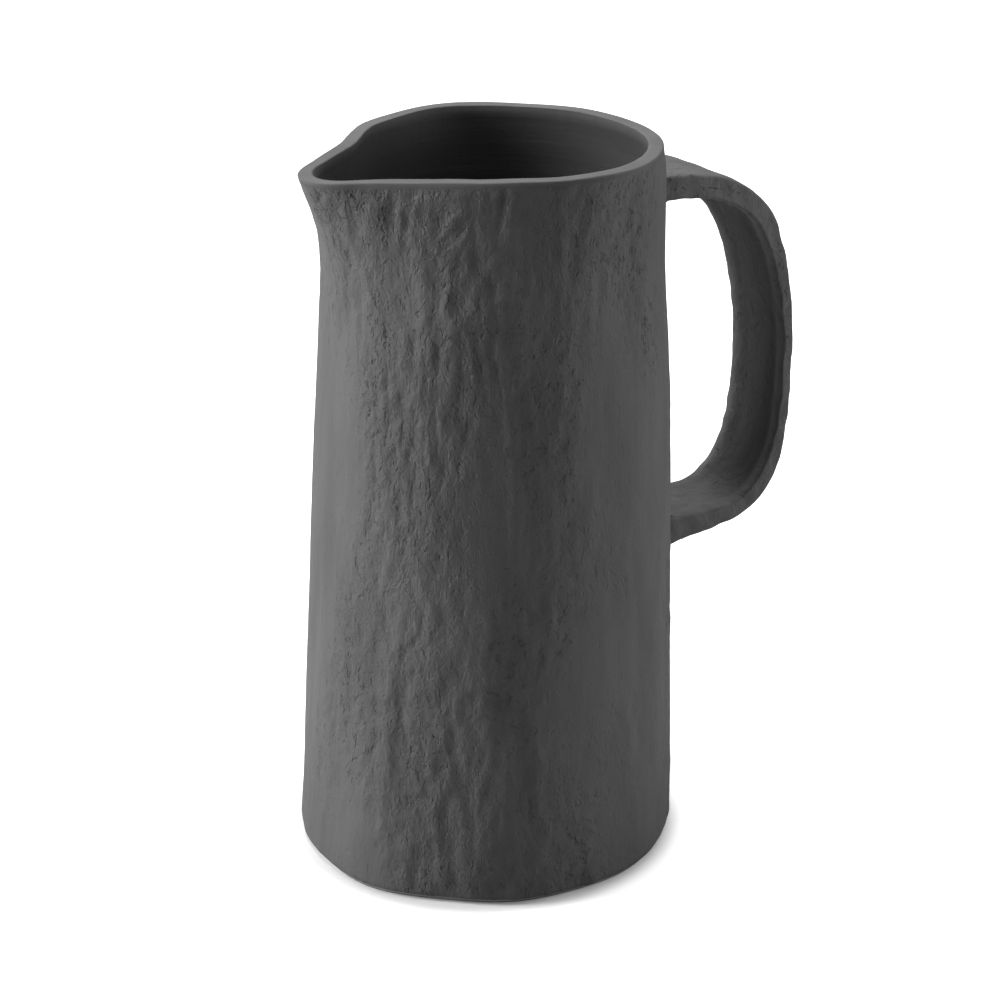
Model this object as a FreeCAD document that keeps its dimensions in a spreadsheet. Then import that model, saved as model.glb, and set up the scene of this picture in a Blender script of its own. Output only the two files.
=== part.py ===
import FreeCAD, Part
import Sketcher
import math
import os

# Hand-built stoneware pouring jug, in millimetres.
# +Z is up, the strap handle lies along +X and the pouring lip points along -X.
# The origin is on the jug's axis, in the plane that the foot rests on.

SIZES = (
    # the wall, whose rim is level at the back
    ("jug_height", 250.0, "floor to rim at the back"),
    ("foot_radius", 67.4, "outer radius at the foot"),
    ("lower_radius", 65.2, "outer radius a quarter of the way up"),
    ("middle_radius", 62.7, "outer radius half way up"),
    ("upper_radius", 59.6, "outer radius three quarters of the way up"),
    ("neck_radius", 58.5, "outer radius where the lip starts"),
    ("rim_radius", 60.0, "outer radius of the mouth behind the lip"),
    ("foot_shift", 0.9, "centre of the foot, off the axis towards the handle"),
    ("lower_shift", 2.6, "the same, a quarter of the way up"),
    ("middle_shift", 3.7, "the same, half way up"),
    ("upper_shift", 4.4, "the same, three quarters of the way up"),
    ("neck_shift", 3.7, "the same, where the lip starts"),
    ("body_wall", 7.0, "thickness of the wall below the neck"),
    ("rim_wall", 5.7, "thickness of the wall at the rim"),
    ("foot_bevel", 2.0, "bevel round the foot"),
    ("rim_round", 0.9, "rounding of the rim's edges"),
    # the pouring lip
    ("lip_reach", 67.3, "axis to the tip of the lip"),
    ("lip_nose_radius", 9.0, "outer radius of the lip's nose in plan"),
    ("lip_drop", 3.6, "how far the lip's tip lies under the rim's back"),
    # the floor
    ("floor_thickness", 8.0, "thickness of the floor"),
    ("seam_coil_radius", 8.0, "radius of the clay pressed into the inside corner"),
    # the strap handle
    ("handle_reach", 121.0, "axis to the strap's outer face"),
    ("strap_width", 32.0, "width of the strap"),
    ("strap_round", 1.4, "rounding of the strap's long edges"),
    ("channel_width", 22.0, "width of the channel on the inner face"),
    ("channel_depth", 1.3, "depth of the channel on the inner face"),
    ("upper_coil_leg", 9.0, "leg of the gusset under the strap's upper join"),
    ("lower_coil_leg", 8.0, "leg of the fillet over the strap's lower join"),
    ("coil_width", 26.0, "length of both luting coils across the strap"),
    ("coil_sink", 2.0, "how far a luting coil's blank runs into the strap before it is trimmed"),
    # one overrun for all cuts
    ("overrun", 4.0, "how far a cutting shape runs past what it cuts"),
)

# Plan angles in degrees, measured from the lip's own direction.
NOSE_ANGLE = 46.0
SHOULDER_ANGLE = 115.0

# Each row: height share of the jug, radius, shift and wall names, and how much of the
# lip's form the section has.
SECTION_SHARES = (
    (0.00, "foot_radius", "foot_shift", "body_wall", 0.00),
    (0.25, "lower_radius", "lower_shift", "body_wall", 0.00),
    (0.50, "middle_radius", "middle_shift", "body_wall", 0.00),
    (0.75, "upper_radius", "upper_shift", "body_wall", 0.00),
    (0.86, "neck_radius", "neck_shift", "body_wall", 0.04),
    (0.94, "neck_radius", "neck_shift", "rim_wall", 0.42),
    (1.00, "rim_radius", None, "rim_wall", 1.00),
)
# Length of a flank curve's two handles, as shares of the rim's radius: where it leaves
# the shoulder, and where it reaches the nose.
SHOULDER_PULL_SHARE = 0.54
NOSE_PULL_SHARE = 0.75
# How far up from the lower to the middle section the strap's lower join lies.
LOWER_JOIN_SHARE = 0.68
# Where the rim starts to sink towards the lip, as a share of the rim's radius.
DROP_START_SHARE = 0.33

# The strap seen from the side: shares of handle_reach outwards and of jug_height upwards.
STRAP_OUTER_SHARES = (
    (0.38, 0.936), (0.60, 0.926), (0.74, 0.909), (0.835, 0.888), (0.905, 0.850),
    (0.955, 0.790), (0.988, 0.720), (1.000, 0.640), (0.995, 0.550), (0.970, 0.484),
    (0.915, 0.440), (0.840, 0.412), (0.740, 0.398), (0.600, 0.386), (0.38, 0.366),
)
STRAP_INNER_SHARES = (
    (0.38, 0.902), (0.60, 0.899), (0.74, 0.882), (0.835, 0.852), (0.890, 0.812),
    (0.930, 0.760), (0.956, 0.700), (0.967, 0.640), (0.959, 0.552), (0.934, 0.494),
    (0.885, 0.453), (0.810, 0.427), (0.720, 0.423), (0.600, 0.421), (0.38, 0.415),
)


def fill_sheet(doc):
    """The driving dimensions, one aliased cell each."""
    sheet = doc.addObject("Spreadsheet::Sheet", "sizes")
    for row, (alias, value, note) in enumerate(SIZES, start=1):
        sheet.set(f"A{row}", note)
        sheet.set(f"B{row}", str(value))
        sheet.setAlias(f"B{row}", alias)
    doc.recompute()
    return sheet


def plane_of(body, role):
    """One of the body's own origin planes."""
    return next(item for item in body.Origin.OriginFeatures if item.Role == role)


def add_body(doc, label):
    body = doc.addObject("PartDesign::Body", label)
    body.Label = label
    return body


def add_sketch(body, name, role):
    sketch = body.newObject("Sketcher::SketchObject", name)
    sketch.AttachmentSupport = (plane_of(body, role), [""])
    sketch.MapMode = "FlatFace"
    return sketch


def polar(centre, radius, degrees):
    """The plan point a radius away from another, with angles measured from -X."""
    turn = math.radians(degrees)
    return centre[0] - radius * math.cos(turn), centre[1] + radius * math.sin(turn)


def mix(plain, drawn, share):
    return plain + (drawn - plain) * share


def section_wire(sheet, level, radius, shift, wall, lip_share):
    """A plan section: back arc, two flank curves and the nose arc of the lip."""
    height = level * sheet.jug_height
    full_radius = getattr(sheet, radius)
    middle = getattr(sheet, shift) if shift else 0.0
    back = full_radius - wall
    nose = mix(back, sheet.lip_nose_radius - wall, lip_share)
    nose_centre = mix(middle, sheet.lip_nose_radius - sheet.lip_reach, lip_share)
    quarter_pull = math.tan(math.radians(SHOULDER_ANGLE - NOSE_ANGLE) / 4) * 4 / 3
    shoulder_pull = back * mix(quarter_pull, SHOULDER_PULL_SHARE, lip_share)
    nose_pull = back * mix(quarter_pull, NOSE_PULL_SHARE, lip_share)

    def flank(side):
        shoulder = polar((middle, 0), back, side * SHOULDER_ANGLE)
        tip = polar((nose_centre, 0), nose, side * NOSE_ANGLE)
        forward = polar(shoulder, shoulder_pull, side * (SHOULDER_ANGLE - 90))
        rearward = polar(tip, nose_pull, side * (NOSE_ANGLE + 90))
        curve = Part.BezierCurve()
        curve.setPoles([FreeCAD.Vector(*p, height) for p in (shoulder, forward, rearward, tip)])
        return curve

    def arc(centre, size, middle_angle, from_angle, to_angle):
        ends = [polar((centre, 0), size, angle) for angle in (from_angle, middle_angle, to_angle)]
        return Part.Arc(*[FreeCAD.Vector(*p, height) for p in ends])

    left, right = flank(1), flank(-1)
    right.reverse()
    return Part.Wire([
        arc(middle, back, 180, -SHOULDER_ANGLE, SHOULDER_ANGLE).toShape(),
        left.toShape(),
        arc(nose_centre, nose, 0, NOSE_ANGLE, -NOSE_ANGLE).toShape(),
        right.toShape(),
    ])


def lofted(sheet, walls):
    """The jug's form as a solid: its outside, or with the walls taken off, its cavity."""
    wires = []
    for level, radius, shift, wall, lip_share in SECTION_SHARES:
        thickness = getattr(sheet, wall) if walls else 0.0
        wires.append(section_wire(sheet, level, radius, shift, thickness, lip_share))
    return Part.makeLoft(wires, True, False)


def add_shape(doc, label, shape):
    feature = doc.addObject("Part::Feature", label)
    feature.Label = label
    feature.Shape = shape
    feature.Placement = FreeCAD.Placement()
    return feature


def rim_trim(sheet):
    """What is cut off the top, so that the rim sinks in one arc towards the lip."""
    start = FreeCAD.Vector(sheet.rim_radius * DROP_START_SHARE, 0, sheet.jug_height)
    run = sheet.lip_reach + start.x
    past = sheet.lip_reach + sheet.overrun
    bend_radius = (run ** 2 + sheet.lip_drop ** 2) / (2 * sheet.lip_drop)

    def on_arc(outward):
        back = outward + start.x
        sink = bend_radius - math.sqrt(bend_radius ** 2 - back ** 2)
        return FreeCAD.Vector(-outward, 0, sheet.jug_height - sink)

    top = sheet.jug_height + sheet.overrun
    end = on_arc(past)
    edges = [Part.Arc(start, on_arc(past / 2), end).toShape()]
    corners = [end, FreeCAD.Vector(end.x, 0, top), FreeCAD.Vector(start.x, 0, top), start]
    edges += [Part.makeLine(one, other) for one, other in zip(corners, corners[1:])]
    half = sheet.lip_reach
    face = Part.Face(Part.Wire(edges))
    face.translate(FreeCAD.Vector(0, -half, 0))
    return face.extrude(FreeCAD.Vector(0, 2 * half, 0))


def make_wall(doc, sheet, outside, cavity):
    """The open tube of the wall, bevelled at the foot and rounded at the rim.

    The drawn-out mouth is a free form, so the wall is lofted from plan sections.
    """
    tube = outside.Shape.cut(cavity.Shape).cut(rim_trim(sheet)).removeSplitter()
    mid_wall = sheet.foot_radius - sheet.body_wall / 2
    foot = [edge for edge in tube.Edges
            if edge.BoundBox.ZMax < sheet.foot_bevel / 2
            and min(corner.Point.Length for corner in edge.Vertexes) > mid_wall]
    tube = tube.makeChamfer(sheet.foot_bevel, foot)
    lowest_rim = sheet.jug_height - sheet.lip_drop - sheet.rim_round
    rim = [edge for edge in tube.Edges if edge.BoundBox.ZMin > lowest_rim]
    tube = tube.makeFillet(sheet.rim_round, rim)
    return add_shape(doc, "wall", tube)


def part_cut(doc, label, base, tool):
    cut = doc.addObject("Part::Cut", label)
    cut.Base, cut.Tool = base, tool
    cut.Label = label
    return cut


def make_floor_disc(doc, cavity):
    """The floor: what a slab of the floor's thickness fills of the wall's foot."""
    slab = doc.addObject("Part::Cylinder", "floor_slab")
    slab.setExpression("Radius", "sizes.foot_radius")
    slab.setExpression("Height", "sizes.floor_thickness")
    slab.setExpression("Placement.Base.x", "sizes.foot_shift")
    disc = doc.addObject("Part::Common", "floor_disc")
    disc.Base, disc.Tool = cavity, slab
    disc.Label = "floor_disc"
    return disc


def bind_point(sketch, geometry, end, across, up):
    """A point's two coordinates in its sketch, bound to expressions of the sheet."""
    for kind, expression in (("DistanceX", across), ("DistanceY", up)):
        value = float(sketch.evalExpression(expression))
        place = Sketcher.Constraint(kind, -1, 1, geometry, end, value)
        sketch.setExpression(f"Constraints[{sketch.addConstraint(place)}]", expression)


def coil_outline(sketch, sheet, corner_across, corner_up, leg, turn):
    """A corner fillet: two legs on what it joins and a hollow face between them.

    The outline runs on into the wall and the strap, and is trimmed later.
    """
    across = sketch.evalExpression(corner_across)
    up = sketch.evalExpression(corner_up)
    size, over = getattr(sheet, leg), sheet.overrun
    leg_name = "sizes." + leg
    outward = (across, across + size)
    inner = across - 2 * over
    far_up, far_down = up - turn * sheet.coil_sink, up + turn * size
    arc = Part.ArcOfCircle(
        Part.Circle(FreeCAD.Vector(outward[1], far_down, 0), FreeCAD.Vector(0, 0, 1), size),
        *((math.pi / 2, math.pi) if turn < 0 else (math.pi, math.pi * 3 / 2)))
    corners = [(outward[1], up), (outward[1], far_up), (inner, far_up), (inner, far_down),
               (outward[0], far_down)]
    points = [FreeCAD.Vector(x, y, 0) for x, y in corners]
    lines = [sketch.addGeometry(Part.LineSegment(one, other))
             for one, other in zip(points, points[1:])]
    curve = sketch.addGeometry(arc)
    tips = (1, 2) if turn < 0 else (2, 1)
    for one, other in zip(lines, lines[1:]):
        sketch.addConstraint(Sketcher.Constraint("Coincident", one, 2, other, 1))
    sketch.addConstraint(Sketcher.Constraint("Coincident", lines[0], 1, curve, tips[0]))
    sketch.addConstraint(Sketcher.Constraint("Coincident", lines[-1], 2, curve, tips[1]))
    sign = "-" if turn < 0 else "+"
    contrary = "+" if turn < 0 else "-"
    right = f"({corner_across} + {leg_name})"
    left = f"({corner_across} - 2 * sizes.overrun)"
    over_up = f"({corner_up} {contrary} sizes.coil_sink)"
    leg_up = f"({corner_up} {sign} {leg_name})"
    bind_point(sketch, lines[0], 1, right, corner_up)
    bind_point(sketch, lines[1], 1, right, over_up)
    bind_point(sketch, lines[2], 1, left, over_up)
    bind_point(sketch, lines[3], 1, left, leg_up)
    bind_point(sketch, lines[3], 2, corner_across, leg_up)
    size_place = sketch.addConstraint(Sketcher.Constraint("Radius", curve, size))
    sketch.setExpression(f"Constraints[{size_place}]", leg_name)


def make_luting_coil(doc, sheet, label, corner_across, corner_up, leg, turn, trims):
    """A luting coil across the strap, trimmed to the wall and the strap that it joins."""
    body = add_body(doc, label + "_clay")
    sketch = add_sketch(body, label + "_outline", "XZ_Plane")
    coil_outline(sketch, sheet, corner_across, corner_up, leg, turn)
    doc.recompute()
    pad = body.newObject("PartDesign::Pad", label + "_length")
    pad.Profile = sketch
    pad.Midplane = True
    pad.setExpression("Length", "sizes.coil_width")
    doc.recompute()
    piece = body
    for number, trim in enumerate(trims, start=1):
        name = label if number == len(trims) else f"{label}_trim_{number}"
        piece = part_cut(doc, name, piece, trim)
    return piece


def make_seam_coil(doc, sheet, cavity):
    """The clay pressed round the inside corner, which is found where the floor's top
    meets the cavity."""
    body = add_body(doc, "seam_clay")
    sketch = add_sketch(body, "seam_outline", "XZ_Plane")
    size, floor = sheet.seam_coil_radius, sheet.floor_thickness
    corner = cavity.Shape.slice(FreeCAD.Vector(0, 0, 1), floor)[0].BoundBox
    inside = corner.XLength / 2
    over = sheet.overrun
    corners = [(inside - size, floor), (inside + over, floor), (inside + over, floor + size),
               (inside, floor + size)]
    points = [FreeCAD.Vector(x, y, 0) for x, y in corners]
    lines = [sketch.addGeometry(Part.LineSegment(one, other))
             for one, other in zip(points, points[1:])]
    centre = FreeCAD.Vector(inside - size, floor + size, 0)
    circle = Part.Circle(centre, FreeCAD.Vector(0, 0, 1), size)
    curve = sketch.addGeometry(Part.ArcOfCircle(circle, -math.pi / 2, 0))
    for one, other in zip(lines, lines[1:]):
        sketch.addConstraint(Sketcher.Constraint("Coincident", one, 2, other, 1))
    sketch.addConstraint(Sketcher.Constraint("Coincident", lines[0], 1, curve, 1))
    sketch.addConstraint(Sketcher.Constraint("Coincident", lines[2], 2, curve, 2))
    for place in lines + [curve]:
        sketch.addConstraint(Sketcher.Constraint("Block", place))
    doc.recompute()
    ring = body.newObject("PartDesign::Revolution", "seam_ring")
    ring.Profile = sketch
    ring.ReferenceAxis = (sketch, ["V_Axis"])
    ring.Angle = 360
    body.Placement.Base.x = corner.Center.x
    doc.recompute()
    coil = doc.addObject("Part::Common", "floor_seam_coil")
    coil.Base, coil.Tool = body, cavity
    coil.Label = "floor_seam_coil"
    return coil


def spline_through(sheet, shares):
    points = [FreeCAD.Vector(out * sheet.handle_reach, up * sheet.jug_height, 0)
              for out, up in shares]
    curve = Part.BSplineCurve()
    curve.interpolate(points)
    return curve, points


def make_strap(doc, sheet, outside):
    """The pulled strap: a side outline as wide as the strap, with a channel inside."""
    body = add_body(doc, "strap_clay")
    outline = add_sketch(body, "strap_outline", "XZ_Plane")
    outer, outer_points = spline_through(sheet, STRAP_OUTER_SHARES)
    inner, inner_points = spline_through(sheet, STRAP_INNER_SHARES)
    curves = [outline.addGeometry(outer), outline.addGeometry(inner)]
    ends = [outline.addGeometry(Part.LineSegment(outer_points[place], inner_points[place]))
            for place in (0, -1)]
    for curve in curves + ends:
        outline.addConstraint(Sketcher.Constraint("Block", curve))
    doc.recompute()
    pad = body.newObject("PartDesign::Pad", "strap_pad")
    pad.Profile = outline
    pad.Midplane = True
    pad.setExpression("Length", "sizes.strap_width")
    doc.recompute()

    names = [f"Edge{place}" for place, edge in enumerate(pad.Shape.Edges, start=1)
             if edge.Length > sheet.handle_reach]
    rounding = body.newObject("PartDesign::Fillet", "strap_rounding")
    rounding.Base = (pad, names)
    rounding.setExpression("Radius", "sizes.strap_round")
    doc.recompute()

    path = add_sketch(body, "channel_path", "XZ_Plane")
    path.addConstraint(Sketcher.Constraint("Block", path.addGeometry(inner)))
    section = add_sketch(body, "channel_section", "YZ_Plane")
    section.AttachmentOffset = FreeCAD.Placement(
        FreeCAD.Vector(0, 0, inner_points[0].x), FreeCAD.Rotation())
    half, depth, face = sheet.channel_width / 2, sheet.channel_depth, inner_points[0].y
    sides = [FreeCAD.Vector(-half, face, 0), FreeCAD.Vector(half, face, 0)]
    low = [FreeCAD.Vector(side.x, face - depth, 0) for side in sides]
    section.addGeometry(Part.Arc(sides[0], FreeCAD.Vector(0, face + depth, 0), sides[1]))
    for one, other in ((sides[1], low[1]), (low[1], low[0]), (low[0], sides[0])):
        section.addGeometry(Part.LineSegment(one, other))
    doc.recompute()
    channel = body.newObject("PartDesign::SubtractivePipe", "strap_channel")
    channel.Profile = section
    channel.Spine = path
    doc.recompute()
    return part_cut(doc, "handle_strap", body, outside)


def check_document(doc, nodes):
    """Stops if a step failed, or if a piece is null, broken or not one solid."""
    for item in doc.Objects:
        if "Invalid" in item.State or "Error" in item.State:
            raise RuntimeError(f"{item.Label} failed: {item.State}")
    for node in nodes:
        shape = node.Shape
        if shape.isNull() or not shape.isValid() or len(shape.Solids) != 1:
            raise RuntimeError(f"{node.Label} isn't one valid solid")
        print(f"{node.Label}: {shape.Volume:.0f} mm3")


def main():
    doc = FreeCAD.newDocument("oinochoe_jug")
    sheet = fill_sheet(doc)
    outside = add_shape(doc, "outside_form", lofted(sheet, walls=False))
    cavity = add_shape(doc, "cavity_form", lofted(sheet, walls=True))
    wall = make_wall(doc, sheet, outside, cavity)
    floor_disc = make_floor_disc(doc, cavity)
    seam_coil = make_seam_coil(doc, sheet, cavity)
    strap = make_strap(doc, sheet, outside)
    upper_join = "(sizes.neck_radius + sizes.neck_shift)"
    lower_join = (f"((sizes.lower_radius + sizes.lower_shift) * {1 - LOWER_JOIN_SHARE}"
                  f" + (sizes.middle_radius + sizes.middle_shift) * {LOWER_JOIN_SHARE})")
    upper_coil = make_luting_coil(
        doc, sheet, "upper_luting_coil", upper_join,
        f"(sizes.jug_height * {STRAP_INNER_SHARES[1][1]})", "upper_coil_leg", -1,
        (outside, strap))
    lower_coil = make_luting_coil(
        doc, sheet, "lower_luting_coil", lower_join,
        f"(sizes.jug_height * {STRAP_INNER_SHARES[-2][1]})", "lower_coil_leg", 1,
        (outside, strap))
    doc.recompute()
    nodes = (wall, floor_disc, seam_coil, strap, upper_coil, lower_coil)
    check_document(doc, nodes)
    os.makedirs("parts", exist_ok=True)
    for node in nodes:
        node.Shape.exportStep(f"parts/{node.Label}.step")


main()
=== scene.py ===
import math

import bmesh
import bpy
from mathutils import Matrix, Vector, noise
from mathutils.bvhtree import BVHTree


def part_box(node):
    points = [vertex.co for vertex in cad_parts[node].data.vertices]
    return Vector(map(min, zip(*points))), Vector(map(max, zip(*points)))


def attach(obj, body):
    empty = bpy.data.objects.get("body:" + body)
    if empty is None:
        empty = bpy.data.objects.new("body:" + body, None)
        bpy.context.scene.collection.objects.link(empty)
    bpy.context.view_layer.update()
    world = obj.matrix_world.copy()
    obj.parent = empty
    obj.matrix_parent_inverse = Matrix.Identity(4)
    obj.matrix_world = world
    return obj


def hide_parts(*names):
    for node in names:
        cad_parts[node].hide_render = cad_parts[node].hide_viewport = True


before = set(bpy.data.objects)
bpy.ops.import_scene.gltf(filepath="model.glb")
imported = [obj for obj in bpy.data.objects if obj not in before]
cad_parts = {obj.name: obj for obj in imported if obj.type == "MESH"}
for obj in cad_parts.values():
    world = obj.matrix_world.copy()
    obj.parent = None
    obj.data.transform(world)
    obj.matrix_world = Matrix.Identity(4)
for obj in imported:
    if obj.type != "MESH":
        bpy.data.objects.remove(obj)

bl_info = {
    "name": "Stoneware jug",
    "version": (1, 0, 0),
    "blender": (4, 5, 0),
    "location": "View3D > Sidebar > Jug",
    "description": "Dresses the clay pieces of a hand-built pouring jug",
    "category": "Object",
}

MM = 0.001
WALL_LOW, WALL_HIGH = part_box("wall")
STRAP_LOW, STRAP_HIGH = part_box("handle_strap")

# The strap seen from the side: shares of its reach outwards and of the jug's height upwards.
STRAP_OUTER_SHARES = (
    (0.38, 0.942), (0.60, 0.937), (0.74, 0.920), (0.840, 0.891), (0.914, 0.855),
    (0.962, 0.790), (0.993, 0.720), (1.003, 0.640), (0.997, 0.550), (0.975, 0.480),
    (0.926, 0.435), (0.850, 0.406), (0.745, 0.392), (0.600, 0.382), (0.38, 0.366),
)
STRAP_INNER_SHARES = (
    (0.38, 0.902), (0.60, 0.899), (0.74, 0.882), (0.835, 0.852), (0.890, 0.812),
    (0.930, 0.760), (0.956, 0.700), (0.967, 0.640), (0.959, 0.552), (0.934, 0.494),
    (0.885, 0.453), (0.810, 0.427), (0.720, 0.423), (0.600, 0.421), (0.38, 0.415),
)
# The foot's plan isn't quite round: plan angle and half width in degrees, and how far
# it stands out (or in, when negative).
FOOT_LOBES = ((-156.0, 20.0, 4.6 * MM), (-112.0, 20.0, 3.0 * MM), (-76.0, 17.0, 2.1 * MM),
              (172.0, 12.0, 1.2 * MM))
# The lip's tip is drawn out and pinched behind on either side, in the same terms.
LIP_LOBES = ((180.0, 11.0, 2.4 * MM), (144.0, 13.0, -2.0 * MM), (-144.0, 13.0, -0.6 * MM),
             (112.0, 13.0, 1.4 * MM))
# Long ridges beside single strokes of the scraper: plan angle at the low end and how far
# it turns on the way up, half width (all in degrees), height, low end and high end.
RIDGES = (
    (173.4, 0.0, 7.0, 0.50 * MM, 10 * MM, 150 * MM),
    (-138.5, -4.5, 4.0, 0.55 * MM, 168 * MM, 240 * MM),
    (-151.0, -6.0, 4.0, 0.55 * MM, 112 * MM, 168 * MM),
    (-109.0, -4.0, 3.5, 0.40 * MM, 112 * MM, 205 * MM),
    (-112.0, -2.0, 4.0, 0.70 * MM, 14 * MM, 72 * MM),
    (-102.0, -4.0, 4.0, 0.50 * MM, 8 * MM, 62 * MM),
    (-152.0, 2.0, 5.0, 0.65 * MM, 30 * MM, 98 * MM),
)
# Where the clay is torn roughest: plan angle and half width in degrees, and by how much.
ROUGH_BANDS = ((-150.0, 20.0, 0.55), (-116.0, 26.0, 0.60), (-92.0, 10.0, 0.30),
               (20.0, 25.0, 0.5), (95.0, 18.0, 0.6))


class JugSizes(bpy.types.PropertyGroup):
    """Sizes of the clay relief that the maker's tools left."""

    facet: bpy.props.FloatProperty(
        name="Facets", description="Depth of the broad soft facets", default=0.9 * MM,
        unit="LENGTH")
    flute: bpy.props.FloatProperty(
        name="Flutes", description="Depth of the upright scraped flutes", default=0.34 * MM,
        unit="LENGTH")
    bark: bpy.props.FloatProperty(
        name="Bark", description="Depth of the short torn ridges", default=0.34 * MM,
        unit="LENGTH")
    ring: bpy.props.FloatProperty(
        name="Throwing rings", description="Depth of the rings inside", default=0.22 * MM,
        unit="LENGTH")
    rim_fall: bpy.props.FloatProperty(
        name="Rim round", description="How far the rim's edges fall away", default=0.8 * MM,
        unit="LENGTH")
    lip_drop: bpy.props.FloatProperty(
        name="Lip drop", description="How far the lip's tip lies under the rim's back",
        default=3.6 * MM, unit="LENGTH")
    strap_chip: bpy.props.FloatProperty(
        name="Strap edge", description="How rough the strap's edges are", default=0.6 * MM,
        unit="LENGTH")


class JugFinish(bpy.types.PropertyGroup):
    """Colours of the fired clay, of the shade and light painted onto it, and of the floor under it.
    """

    clay: bpy.props.FloatVectorProperty(
        name="Clay", description="Fired clay, untouched", subtype="COLOR",
        default=(0.100, 0.100, 0.101))
    clay_pale: bpy.props.FloatVectorProperty(
        name="Pale clay", description="Clay where a tool burnished it", subtype="COLOR",
        default=(0.135, 0.135, 0.136))
    # painted shade: darkens the pits and hollows, and is the darker tone of the shaded inside
    clay_painted_shade: bpy.props.FloatVectorProperty(
        name="Dark clay", description="Clay in pits and hollows", subtype="COLOR",
        default=(0.070, 0.070, 0.071))
    # painted shade: the inside is a darker copy of the rim's clay, standing in for the shade inside
    # the jug
    clay_inside_shade: bpy.props.FloatVectorProperty(
        name="Inside clay", description="The darker clay inside the jug", subtype="COLOR",
        default=(0.062, 0.062, 0.063))
    # painted shade in the strap's channel, which faces the wall and lies in its shade
    clay_channel_shade: bpy.props.FloatVectorProperty(
        name="Channel clay", description="The rough dark clay in the strap's channel",
        subtype="COLOR", default=(0.036, 0.036, 0.037))
    # painted light: the foot's bevel is painted pale, standing in for light bounced up from the floor
    clay_foot_bounce_light: bpy.props.FloatVectorProperty(
        name="Bare clay", description="The pale bare clay on the foot's bevel",
        subtype="COLOR", default=(0.42, 0.42, 0.42))
    floor: bpy.props.FloatVectorProperty(
        name="Floor", description="The pale floor", subtype="COLOR",
        default=(0.92, 0.92, 0.92))


class Worth:
    """A shader value that ordinary arithmetic adds Math nodes to."""

    def __init__(self, clay, socket):
        self.clay = clay
        self.socket = socket

    def math(self, operation, *others):
        inputs = {place: other for place, other in enumerate((self, *others))}
        return self.clay.node("ShaderNodeMath", {"operation": operation}, inputs)[0]

    def __add__(self, other):
        return self.math("ADD", other)

    def __sub__(self, other):
        return self.math("SUBTRACT", other)

    def __mul__(self, other):
        return self.math("MULTIPLY", other)

    def __rsub__(self, other):
        inputs = {0: other, 1: self}
        return self.clay.node("ShaderNodeMath", {"operation": "SUBTRACT"}, inputs)[0]

    __radd__ = __add__
    __rmul__ = __mul__

    def spread(self, low, high):
        """Smoothly 0 below low and 1 above high."""
        settings = {"interpolation_type": "SMOOTHSTEP"}
        return self.clay.node("ShaderNodeMapRange", settings, {0: self, 1: low, 2: high})[0]


class Clay:
    """A material under construction, with one method that adds any node."""

    def __init__(self, name):
        self.material = bpy.data.materials.new(name)
        self.material.use_nodes = True
        self.tree = self.material.node_tree
        self.tree.nodes.clear()

    def node(self, kind, settings, inputs):
        """Adds a node, sets it, fills its sockets and returns its outputs as values."""
        made = self.tree.nodes.new(kind)
        for name, setting in settings.items():
            setattr(made, name, setting)
        for place, given in inputs.items():
            if isinstance(given, Worth):
                self.tree.links.new(given.socket, made.inputs[place])
            else:
                made.inputs[place].default_value = given
        return [Worth(self, socket) for socket in made.outputs]

    def place(self, across, up, turn=0.0):
        """Object coordinates, stretched: the two numbers are patterns per metre."""
        coordinates = self.node("ShaderNodeTexCoord", {}, {})[3]
        settings = {"Vector": coordinates, "Scale": (across, across, up),
                    "Rotation": (turn, 0.0, 0.0)}
        return self.node("ShaderNodeMapping", {}, settings)[0]

    def cloud(self, across, up, detail=3.0, rough=0.55, turn=0.0, bend=0.0):
        """Noise in Object coordinates, from 0 to 1."""
        inputs = {"Vector": self.place(across, up, turn), "Scale": 1.0, "Detail": detail,
                  "Roughness": rough, "Distortion": bend}
        return self.node("ShaderNodeTexNoise", {}, inputs)[0]

    def height_up(self):
        """The height over the floor, in metres."""
        coordinates = self.node("ShaderNodeTexCoord", {}, {})[3]
        return self.node("ShaderNodeSeparateXYZ", {}, {0: coordinates})[2]

    def mark(self, name):
        """A share that the piece itself carries, point by point."""
        return self.node("ShaderNodeAttribute", {"attribute_name": name}, {})[2]

    def pits(self, across, up, few):
        """Torn little pits: 1 inside a pit, 0 between them; the higher few is, the fewer."""
        return self.cloud(across, up, detail=3.0, bend=0.3).spread(few, few + 0.10)

    def blend(self, share, one, other):
        """Mixes two colours."""
        settings = {"data_type": "RGBA"}
        return self.node("ShaderNodeMix", settings, {0: share, 6: one, 7: other})[2]

    def bump(self, height):
        """Normals from a height in millimetres."""
        return self.node("ShaderNodeBump", {}, {"Height": height, "Distance": MM,
                                                "Strength": 1.0})[0]

    def finish(self, inputs):
        shader = self.node("ShaderNodeBsdfPrincipled", {}, inputs)[0]
        self.node("ShaderNodeOutputMaterial", {}, {"Surface": shader})
        return self.material


def opaque(colour):
    return (*colour, 1.0)


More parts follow.
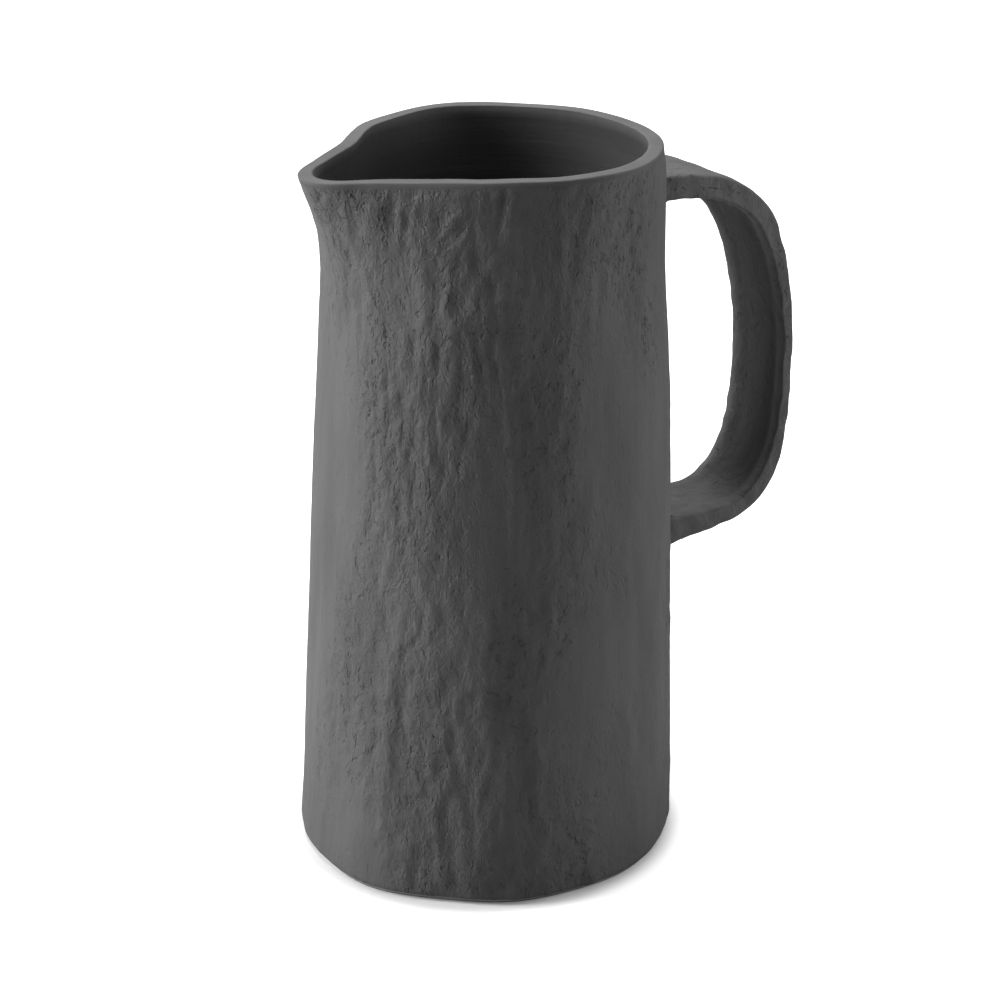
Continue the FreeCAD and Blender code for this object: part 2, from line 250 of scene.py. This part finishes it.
def scraped_clay():
    """The outside: upright tool streaks, torn grain and pits in dark matte clay, with painted shade
    in the pits and hollows and a painted highlight on the foot's bevel.
    """
    finish = bpy.context.scene.jug_finish
    clay = Clay("scraped_stoneware")
    # on the wall this share says how torn the clay is
    patches = clay.mark("torn_and_channel_shade")
    streaks = clay.cloud(260, 13, detail=4.0, bend=0.3)
    fine_streaks = clay.cloud(1500, 70, detail=2.0)
    torn = clay.cloud(180, 120, detail=7.0, rough=0.64, bend=0.25)
    grain = clay.cloud(2400, 2000, detail=3.0)
    open_clay = patches * clay.cloud(50, 26).spread(0.35, 0.60)
    pits = clay.pits(430, 260, 0.58) * (open_clay * 0.85 + 0.15)
    lumps = clay.pits(520, 360, 0.60) * open_clay
    specks = clay.pits(1000, 760, 0.62) * (open_clay * 0.6 + 0.4)
    height = (streaks * 0.20 + fine_streaks * 0.05 + torn * (patches * 1.5 + 0.30)
              + grain * 0.07 - pits * 0.60 + lumps * 0.55 - specks * 0.25)
    tone = clay.cloud(60, 14, detail=4.0).spread(0.25, 0.75)
    colour = clay.blend(tone, opaque(finish.clay), opaque(finish.clay_pale))
    # painted shade: the pits and the low parts of the torn patches are darkened
    shaded_hollow = pits * 0.2 + (1 - torn).spread(0.5, 0.75) * patches * 0.25
    colour = clay.blend(shaded_hollow, colour, opaque(finish.clay_painted_shade))
    # painted highlight: the lowest 2 mm, the foot's bevel, is painted pale
    foot = 1 - clay.height_up().spread(1.2 * MM, 2.2 * MM)
    colour = clay.blend(foot, colour, opaque(finish.clay_foot_bounce_light))
    return clay.finish({
        "Base Color": colour,
        "Roughness": 0.56 + grain * 0.14 + pits * 0.1,
        "Specular IOR Level": 0.4,
        "Normal": clay.bump(height),
    })


def smooth_clay(name, untouched, burnished):
    """Clay wiped smooth, with faint rings round the wall and painted shade in its pits."""
    finish = bpy.context.scene.jug_finish
    clay = Clay(name)
    rings = clay.cloud(9, 420, detail=3.0)
    grain = clay.cloud(1400, 1400, detail=3.0)
    pits = clay.pits(500, 500, 0.64) * clay.cloud(60, 60).spread(0.55, 0.65)
    tone = clay.cloud(30, 130, detail=3.0).spread(0.3, 0.7)
    colour = clay.blend(tone, opaque(untouched), opaque(burnished))
    # painted shade in the pits
    colour = clay.blend(pits * 0.6, colour, opaque(finish.clay_painted_shade))
    return clay.finish({
        "Base Color": colour,
        "Roughness": 0.58 + grain * 0.16 + rings * 0.1,
        "Specular IOR Level": 0.35,
        "Normal": clay.bump(rings * 0.16 + grain * 0.05 - pits * 0.2),
    })


def rim_clay():
    finish = bpy.context.scene.jug_finish
    return smooth_clay("rim_stoneware", finish.clay, finish.clay_pale)


# painted shade: the inside wall, the floor and its seam coil are a darker copy of the rim's clay
def shaded_inside_clay():
    finish = bpy.context.scene.jug_finish
    return smooth_clay("inside_stoneware_shaded", finish.clay_inside_shade, finish.clay_painted_shade)


def pulled_clay():
    """The strap: long soft pulling lines with a rough open grain, with painted shade in its pits and
    in its channel.
    """
    finish = bpy.context.scene.jug_finish
    clay = Clay("pulled_stoneware")
    lines = clay.cloud(420, 420, detail=4.0, rough=0.6, bend=0.6)
    torn = clay.cloud(190, 150, detail=5.0, rough=0.6, bend=1.0)
    grain = clay.cloud(2400, 2400, detail=2.0)
    pits = clay.pits(560, 560, 0.6) * clay.cloud(90, 90).spread(0.46, 0.6)
    tone = clay.cloud(90, 60, detail=4.0).spread(0.3, 0.7)
    colour = clay.blend(tone, opaque(finish.clay), opaque(finish.clay_pale))
    # painted shade in the pits
    colour = clay.blend(pits * 0.7, colour, opaque(finish.clay_painted_shade))
    # painted shade in the strap's channel, by the channel share the strap carries
    colour = clay.blend(clay.mark("torn_and_channel_shade") * 0.85, colour, opaque(finish.clay_channel_shade))
    return clay.finish({
        "Base Color": colour,
        "Roughness": 0.60 + grain * 0.16,
        "Specular IOR Level": 0.42,
        "Normal": clay.bump(lines * 0.35 + torn * 0.9 + grain * 0.06 - pits * 0.4),
    })


def shaped_grid(name, columns, rows, form, materials, material_of):
    """A closed piece made from a grid, whose form gives each point its place and how torn
    its clay is (the wall) or how deep in the strap's channel it lies (painted shade)."""
    mesh = bmesh.new()
    bmesh.ops.create_grid(mesh, x_segments=columns, y_segments=rows, size=1.0)
    torn_and_channel_shade = mesh.verts.layers.float.new("torn_and_channel_shade")
    for face in mesh.faces:
        middle = face.calc_center_median()
        face.material_index = material_of((middle.y + 1) / 2)
        face.smooth = True
    for vert in mesh.verts:
        vert.co, vert[torn_and_channel_shade] = form.place((vert.co.x + 1) / 2, (vert.co.y + 1) / 2)
    bmesh.ops.remove_doubles(mesh, verts=mesh.verts, dist=MM / 100)
    bmesh.ops.holes_fill(mesh, edges=mesh.edges, sides=0)
    bmesh.ops.recalc_face_normals(mesh, faces=mesh.faces)
    data = bpy.data.meshes.new(name)
    mesh.to_mesh(data)
    mesh.free()
    for material in materials:
        data.materials.append(material)
    piece = bpy.data.objects.new(name, data)
    bpy.context.scene.collection.objects.link(piece)
    return piece


def smooth_step(low, high, value):
    share = min(max((value - low) / (high - low), 0.0), 1.0)
    return share * share * (3 - 2 * share)


def cloud_at(x, y, z, across, up, seed):
    """Signed noise at a point, with wavelengths across and up in metres."""
    return noise.noise(Vector((x / across + seed, y / across - seed, z / up + seed)))


def turned(degrees, middle):
    """The signed angle in degrees from middle, the shorter way round."""
    return (degrees - middle + 180) % 360 - 180


def lobes_at(lobes, turn):
    """How far a plan's lobes stand out in one direction."""
    degrees = math.degrees(turn)
    return sum(depth * math.exp(-(turned(degrees, middle) / half_width) ** 2)
               for middle, half_width, depth in lobes)


def ridges_at(turn, z):
    """How high the long ridges stand at a point of the wall."""
    height = 0.0
    for middle, lean, half_width, ridge, low, high in RIDGES:
        along = (z - low) / (high - low)
        if 0 < along < 1:
            away = turned(math.degrees(turn), middle + lean * along) / half_width
            ends = smooth_step(0, 0.3, along) * (1 - smooth_step(0.7, 1, along))
            height += ridge * ends * max(0.0, 1 - abs(away))
    return height


class WallForm:
    """The wall's own surfaces, read from its solid by rays from and to the axis."""

    ROUGH_SHARE, OUTER_SHARE, RIM_SHARE, INNER_SHARE = 0.737, 0.74, 0.79, 0.975
    FAR = 0.3
    BOTTOM_CLEARANCE = 0.05 * MM
    SLOPE_STEP = 2.5 * MM

    def __init__(self, sizes):
        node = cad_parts["wall"].data
        self.solid = BVHTree.FromPolygons([v.co for v in node.vertices],
                                          [p.vertices for p in node.polygons])
        self.sizes = sizes
        self.height = WALL_HIGH.z
        self.ray_top = self.height - sizes.lip_drop - 2 * sizes.rim_fall
        self.drop_start = 0.0198
        run = self.drop_start - WALL_LOW.x
        self.drop_radius = (run ** 2 + sizes.lip_drop ** 2) / (2 * sizes.lip_drop)

    def radius(self, turn, z, inner):
        """The plain wall's radius, which carries on in line above the lowest rim."""
        if z > self.ray_top:
            plain = self.radius(turn, self.ray_top, inner)
            below = self.radius(turn, self.ray_top - self.SLOPE_STEP, inner)
            return plain + (plain - below) * (z - self.ray_top) / self.SLOPE_STEP
        level = max(z, self.BOTTOM_CLEARANCE)
        out = Vector((math.cos(turn), math.sin(turn), 0))
        axis = Vector((0, 0, level))
        drawn = lobes_at(LIP_LOBES, turn) * smooth_step(190 * MM, 240 * MM, z)
        if inner:
            return self.solid.ray_cast(axis, out)[3] + drawn
        return self.FAR - self.solid.ray_cast(axis + out * self.FAR, -out)[3] + drawn

    def rim_top(self, turn, radius):
        past = self.drop_start - radius * math.cos(turn)
        if past <= 0:
            return self.height
        return self.height - self.drop_radius + math.sqrt(self.drop_radius ** 2 - past ** 2)

    def relief(self, turn, z, radius):
        """What scraping and beating left on the outside, outwards of the plain form."""
        x, y = radius * math.cos(turn), radius * math.sin(turn)
        sizes = self.sizes
        lean = z * 0.05 + 0.016 * cloud_at(x, y, z, 0.08, 0.11, 14.2)
        facet = cloud_at(x, y, z, 0.034, 0.15, 3.1) + 0.5 * cloud_at(x, y, z, 0.016, 0.06, 8.2)
        flute = 1 - 2 * abs(cloud_at(x + lean, y, z, 0.0095, 0.075, 5.7))
        flute += 0.6 * (1 - 2 * abs(cloud_at(x, y - lean, z, 0.0052, 0.034, 1.9)))
        patch = self.torn_share(Vector((x, y, z)))
        torn = 1 - 2 * abs(cloud_at(x - lean, y, z, 0.0048, 0.013, 7.3))
        rough = cloud_at(x, y, z, 0.0032, 0.008, 2.2)
        return (facet * sizes.facet + (flute - 0.8) * sizes.flute * (0.3 + 0.7 * patch)
                + (torn - 0.5 + rough) * sizes.bark * (0.12 + patch))

    def torn_share(self, spot):
        """How torn the clay is at a point, from 0 to 1: in patches and rough bands."""
        degrees = math.degrees(math.atan2(spot.y, spot.x))
        share = cloud_at(spot.x, spot.y, spot.z, 0.026, 0.06, 12.4) * 0.9
        for middle, half_width, much in ROUGH_BANDS:
            share += much * math.exp(-(turned(degrees, middle) / half_width) ** 2)
        return smooth_step(-0.05, 0.75, share)

    def outside_point(self, turn, share):
        top = self.rim_top(turn, self.radius(turn, self.ray_top, False))
        z = share * (top - self.sizes.rim_fall)
        plain = self.radius(turn, z, False)
        calm = smooth_step(0, 3 * MM, z) * (1 - smooth_step(top - 5 * MM, top - 0.8 * MM, z))
        radius = plain + calm * (self.relief(turn, z, plain) + ridges_at(turn, z))
        radius += lobes_at(FOOT_LOBES, turn) * (1 - smooth_step(0, 75 * MM, z))
        return self.point(turn, radius, z)

    def inside_point(self, turn, share):
        top = self.rim_top(turn, self.radius(turn, self.ray_top, True))
        z = share * (top - self.sizes.rim_fall)
        plain = self.radius(turn, z, True)
        calm = smooth_step(12 * MM, 20 * MM, z) * (1 - smooth_step(top - 8 * MM, top - 3 * MM, z))
        x, y = plain * math.cos(turn), plain * math.sin(turn)
        rings = math.sin(z / (1.15 * MM) + turn) + 2 * cloud_at(x, y, z, 0.05, 0.006, 4.4)
        return self.point(turn, plain + calm * rings * self.sizes.ring, z)

    def rim_point(self, turn, share):
        outer_top = self.rim_top(turn, self.radius(turn, self.ray_top, False))
        inner_top = self.rim_top(turn, self.radius(turn, self.ray_top, True))
        outer = self.radius(turn, outer_top - self.sizes.rim_fall, False)
        inner = self.radius(turn, inner_top - self.sizes.rim_fall, True)
        radius = outer + (inner - outer) * share
        top = outer_top + (inner_top - outer_top) * share
        crown = 1 - (1 - abs(2 * share - 1) ** 6) ** (1 / 6)
        wave = 0.35 * MM * cloud_at(math.cos(turn), math.sin(turn), share, 0.35, 1.5, 6.6)
        return self.point(turn, radius, top - self.sizes.rim_fall * crown + wave * (1 - crown))

    def point(self, turn, radius, z):
        return Vector((radius * math.cos(turn), radius * math.sin(turn), z))

    def place(self, around, along):
        point = self.surface_point(around * math.tau, along)
        return point, self.torn_share(point)

    def surface_point(self, turn, along):
        """Up the outside, over the rim, down the inside and back under the foot."""
        if along < self.OUTER_SHARE:
            return self.outside_point(turn, along / self.OUTER_SHARE)
        if along < self.RIM_SHARE:
            width = self.RIM_SHARE - self.OUTER_SHARE
            return self.rim_point(turn, (along - self.OUTER_SHARE) / width)
        if along < self.INNER_SHARE:
            width = self.INNER_SHARE - self.RIM_SHARE
            return self.inside_point(turn, 1 - (along - self.RIM_SHARE) / width)
        outer = self.outside_point(turn, 0.0)
        inner = self.inside_point(turn, 0.0)
        share = (along - self.INNER_SHARE) / (1 - self.INNER_SHARE)
        return inner.lerp(outer, share)


class JUG_OT_wall(bpy.types.Operator):
    """Make the scraped wall with its smooth rim and pulled lip."""

    bl_idname = "jug.wall"
    bl_label = "Wall"
    COLUMNS, ROWS = 320, 304

    def execute(self, context):
        form = WallForm(context.scene.jug_sizes)

        def material_of(along):
            if along < form.ROUGH_SHARE or along > form.INNER_SHARE:
                return 0
            return 1 if along < form.RIM_SHARE else 2

        piece = shaped_grid("wall_clay", self.COLUMNS, self.ROWS, form,
                            (scraped_clay(), rim_clay(), shaded_inside_clay()), material_of)
        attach(piece, "root")
        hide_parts("wall")
        return {"FINISHED"}


def curve_at(shares, travel):
    """A point on the smooth curve through a side outline, travel going from 0 to 1."""
    last = len(shares) - 1
    place = min(max(travel, 0.0), 1.0) * last
    start = min(int(place), last - 1)
    step = place - start
    points = [Vector(shares[min(max(start + offset, 0), last)]) for offset in (-1, 0, 1, 2)]
    before, one, other, after = points
    flat = (one * 2 + (other - before) * step
            + (before * 2 - one * 5 + other * 4 - after) * step ** 2
            + (one * 3 - before - other * 3 + after) * step ** 3) * 0.5
    return Vector((flat.x * STRAP_HIGH.x, flat.y * WALL_HIGH.z))


class StrapForm:
    """The strap's cross-section, carried along its side outline."""

    WIDE, NARROW, FLARE = 17.0 * MM, 15.3 * MM, 3.5 * MM
    CHANNEL_SHARE, SLOPE_SHARE = 0.86, 0.36
    CHANNEL_DEPTH = 1.9 * MM
    CORNER_POWER = 11.0
    # the strap runs from inside the wall's clay back into it
    START_SHARE, END_SHARE = 0.034, 0.961

    def __init__(self, sizes):
        self.sizes = sizes

    def place(self, share, around):
        along = self.START_SHARE + (self.END_SHARE - self.START_SHARE) * share
        outer = curve_at(STRAP_OUTER_SHARES, along)
        inner = curve_at(STRAP_INNER_SHARES, along)
        through = outer - inner
        middle = (outer + inner) / 2
        turn = around * math.tau
        across, depth = math.cos(turn), math.sin(turn)
        power = self.CORNER_POWER
        size = (abs(across) ** power + abs(depth) ** power) ** (1 / power)
        across, depth = across / size, depth / size
        half_width = self.WIDE + (self.NARROW - self.WIDE) * along
        half_width += self.FLARE * (1 - smooth_step(0.05, 0.30, along))
        y = across * half_width
        # the channel's share also paints shade on the strap's channel
        shaded_hollow = 0.0
        if depth < 0:
            shaded_hollow = smooth_step(0, 1, (self.CHANNEL_SHARE - abs(across)) / self.SLOPE_SHARE)
            shaded_hollow *= smooth_step(0, 1, -depth) * self.channel_ends(along)
            depth += shaded_hollow * 2 * self.CHANNEL_DEPTH / through.length
        spot = middle + through * (depth / 2)
        out = through.normalized()
        relief = self.relief(spot.x, y, spot.y, across)
        spot += out * relief * (1 if depth > 0 else -1)
        y += self.sizes.strap_chip * abs(across) ** 9 * cloud_at(spot.x, y, spot.y, 0.006, 0.006, 9.9)
        return Vector((spot.x, y, spot.y)), shaded_hollow

    def channel_ends(self, along):
        """The channel runs out before both joins, where the luting coils lie."""
        return smooth_step(0.04, 0.18, along) * (1 - smooth_step(0.72, 0.85, along))

    def relief(self, x, y, z, across):
        edge = abs(across) ** 5
        lines = cloud_at(x, y * 4, z, 0.022, 0.022, 3.3)
        lumps = cloud_at(x, y, z, 0.005, 0.005, 5.1)
        return self.sizes.strap_chip * (0.45 * lines + (0.2 + 0.5 * edge) * lumps)


class JUG_OT_strap(bpy.types.Operator):
    """Make the pulled strap handle."""

    bl_idname = "jug.strap"
    bl_label = "Strap"
    COLUMNS, ROWS = 300, 120

    def execute(self, context):
        form = StrapForm(context.scene.jug_sizes)
        piece = shaped_grid("strap_clay", self.COLUMNS, self.ROWS, form,
                            (pulled_clay(),), lambda around: 0)
        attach(piece, "root")
        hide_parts("handle_strap")
        return {"FINISHED"}


class JUG_OT_plain_pieces(bpy.types.Operator):
    """Give the floor, its seam and the two luting coils their clay."""

    bl_idname = "jug.plain_pieces"
    bl_label = "Floor and coils"

    def execute(self, context):
        # the floor and its seam coil take the inside's painted shade
        inside, pulled = shaded_inside_clay(), pulled_clay()
        finishes = {"floor_disc": inside, "floor_seam_coil": inside,
                    "upper_luting_coil": pulled, "lower_luting_coil": pulled}
        for name, material in finishes.items():
            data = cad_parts[name].data
            data.materials.clear()
            data.materials.append(material)
        return {"FINISHED"}


def add_softbox(name, place, aim, width, height, power):
    lamp = bpy.data.lights.new(name, "AREA")
    lamp.shape = "RECTANGLE"
    lamp.size, lamp.size_y = width, height
    lamp.energy = power
    holder = bpy.data.objects.new(name, lamp)
    holder.location = place
    holder.rotation_euler = (Vector(aim) - Vector(place)).to_track_quat("-Z", "Y").to_euler()
    bpy.context.scene.collection.objects.link(holder)
    return holder


class JUG_OT_stage(bpy.types.Operator):
    """Set the pale floor, the soft lights and the camera."""

    bl_idname = "jug.stage"
    bl_label = "Stage"
    CAMERA_PLACE = (-0.4398, -0.7437, 0.4634)
    CAMERA_TILT, CAMERA_TURN = 68.44, -31.0
    LENS = 95.34
    FLOOR_SIZE = 3.0
    # the floor's glow is held back round the foot, a painted contact shadow that is widest at the
    # front left
    CONTACT_SHADOW_SHIFT = (3.8 * MM, 3.2 * MM, 0.0)

    def execute(self, context):
        self.make_floor(context.scene.jug_finish)
        self.make_world(context.scene)
        self.make_lights()
        self.make_camera(context.scene)
        context.scene.view_settings.view_transform = "Standard"
        return {"FINISHED"}

    def make_floor(self, finish):
        mesh = bmesh.new()
        bmesh.ops.create_grid(mesh, x_segments=1, y_segments=1, size=self.FLOOR_SIZE)
        data = bpy.data.meshes.new("pale_floor")
        mesh.to_mesh(data)
        mesh.free()
        clay = Clay("pale_floor")
        seen = clay.node("ShaderNodeLightPath", {}, {})[0]
        spot = clay.node("ShaderNodeTexCoord", {}, {})[3]
        spot = clay.node("ShaderNodeVectorMath", {}, {0: spot, 1: self.CONTACT_SHADOW_SHIFT})[0]
        away = clay.node("ShaderNodeVectorMath", {"operation": "LENGTH"}, {0: spot})[1]
        # painted contact shadow: little glow in a thin ring round the foot, more glow farther out
        near, far = away.spread(0.066, 0.075), away.spread(0.16, 0.6)
        colour = clay.blend(seen, (0.5, 0.5, 0.5, 1.0), opaque(finish.floor))
        paint = clay.node("ShaderNodeBsdfDiffuse", {}, {"Color": colour})[0]
        glow_share = 0.10 + near * 0.6 + far * 0.3
        glow = clay.node("ShaderNodeEmission", {}, {"Color": (1, 1, 1, 1),
                                                    "Strength": seen * glow_share})[0]
        both = clay.node("ShaderNodeAddShader", {}, {0: paint, 1: glow})[0]
        clay.node("ShaderNodeOutputMaterial", {}, {"Surface": both})
        data.materials.append(clay.material)
        floor = bpy.data.objects.new("pale_floor", data)
        bpy.context.scene.collection.objects.link(floor)

    def make_world(self, scene):
        world = bpy.data.worlds.new("studio")
        world.use_nodes = True
        tree = world.node_tree
        background = tree.nodes["Background"]
        path = tree.nodes.new("ShaderNodeLightPath")
        shown = tree.nodes.new("ShaderNodeMath")
        shown.operation = "MAXIMUM"
        tree.links.new(path.outputs["Is Camera Ray"], shown.inputs[0])
        tree.links.new(path.outputs["Is Transmission Ray"], shown.inputs[1])
        strength = tree.nodes.new("ShaderNodeMapRange")
        strength.inputs["To Min"].default_value = 0.10
        strength.inputs["To Max"].default_value = 1.0
        tree.links.new(shown.outputs[0], strength.inputs["Value"])
        tree.links.new(strength.outputs[0], background.inputs["Strength"])
        background.inputs["Color"].default_value = (1, 1, 1, 1)
        scene.world = world

    def make_lights(self):
        aim = (0.0, 0.0, 0.12)
        add_softbox("left_softbox", (-0.94, 0.52, 0.52), aim, 0.4, 0.9, 14.5)
        add_softbox("back_softbox", (0.45, 1.00, 1.05), aim, 1.2, 0.7, 5.0)
        add_softbox("top_softbox", (0.05, 0.25, 1.25), aim, 0.6, 0.6, 9.0)
        add_softbox("right_fill", (0.85, -0.48, 0.45), aim, 0.6, 0.9, 4.2)

    def make_camera(self, scene):
        lens = bpy.data.cameras.new("camera")
        lens.lens = self.LENS
        lens.sensor_width = 36.0
        holder = bpy.data.objects.new("camera", lens)
        holder.location = self.CAMERA_PLACE
        holder.rotation_euler = (math.radians(self.CAMERA_TILT), 0, math.radians(self.CAMERA_TURN))
        scene.collection.objects.link(holder)
        scene.camera = holder


class JUG_PT_panel(bpy.types.Panel):
    """The jug's steps, sizes and colours."""

    bl_label = "Stoneware jug"
    bl_space_type = "VIEW_3D"
    bl_region_type = "UI"
    bl_category = "Jug"

    def draw(self, context):
        for step in STEPS:
            self.layout.operator(step.bl_idname)
        for group in (context.scene.jug_sizes, context.scene.jug_finish):
            for name in group.__annotations__:
                self.layout.prop(group, name)


STEPS = (JUG_OT_wall, JUG_OT_strap, JUG_OT_plain_pieces, JUG_OT_stage)
CLASSES = (JugSizes, JugFinish, *STEPS, JUG_PT_panel)


def register():
    for item in CLASSES:
        bpy.utils.register_class(item)
    bpy.types.Scene.jug_sizes = bpy.props.PointerProperty(type=JugSizes)
    bpy.types.Scene.jug_finish = bpy.props.PointerProperty(type=JugFinish)


def unregister():
    del bpy.types.Scene.jug_finish
    del bpy.types.Scene.jug_sizes
    for item in reversed(CLASSES):
        bpy.utils.unregister_class(item)


def main():
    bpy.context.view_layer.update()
    register()
    bpy.ops.jug.stage()
    bpy.ops.jug.wall()
    bpy.ops.jug.strap()
    bpy.ops.jug.plain_pieces()


if __name__ == "__main__":
    main()
